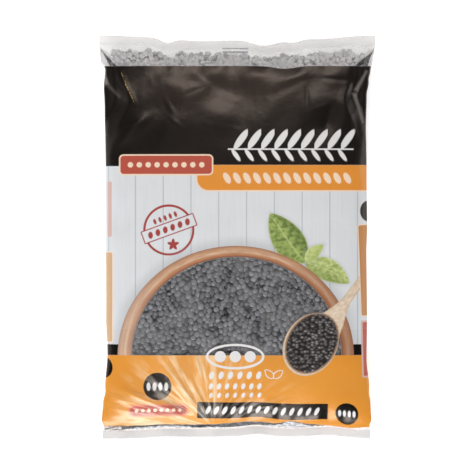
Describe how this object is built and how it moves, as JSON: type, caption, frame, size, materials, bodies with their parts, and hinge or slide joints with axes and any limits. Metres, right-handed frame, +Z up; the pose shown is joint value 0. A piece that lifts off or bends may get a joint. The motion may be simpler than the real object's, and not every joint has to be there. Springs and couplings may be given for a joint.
{
  "type": "bag of beluga lentils",
  "caption": "Gusseted film bag of small black lentils, sealed across both ends, lying on its back with its printed front up.",
  "frame": {"origin": "on the table, under the middle of the bag's outline", "axes": "+Z up from the table and out of the printed front, +Y towards the bag's top seal, +X to the reader's right"},
  "size_m": [0.1523, 0.2222, 0.026],
  "materials": {
    "film": "satin"
  },
  "bodies": {
    "root": {"bag": "film"}
  },
  "joints": []
}
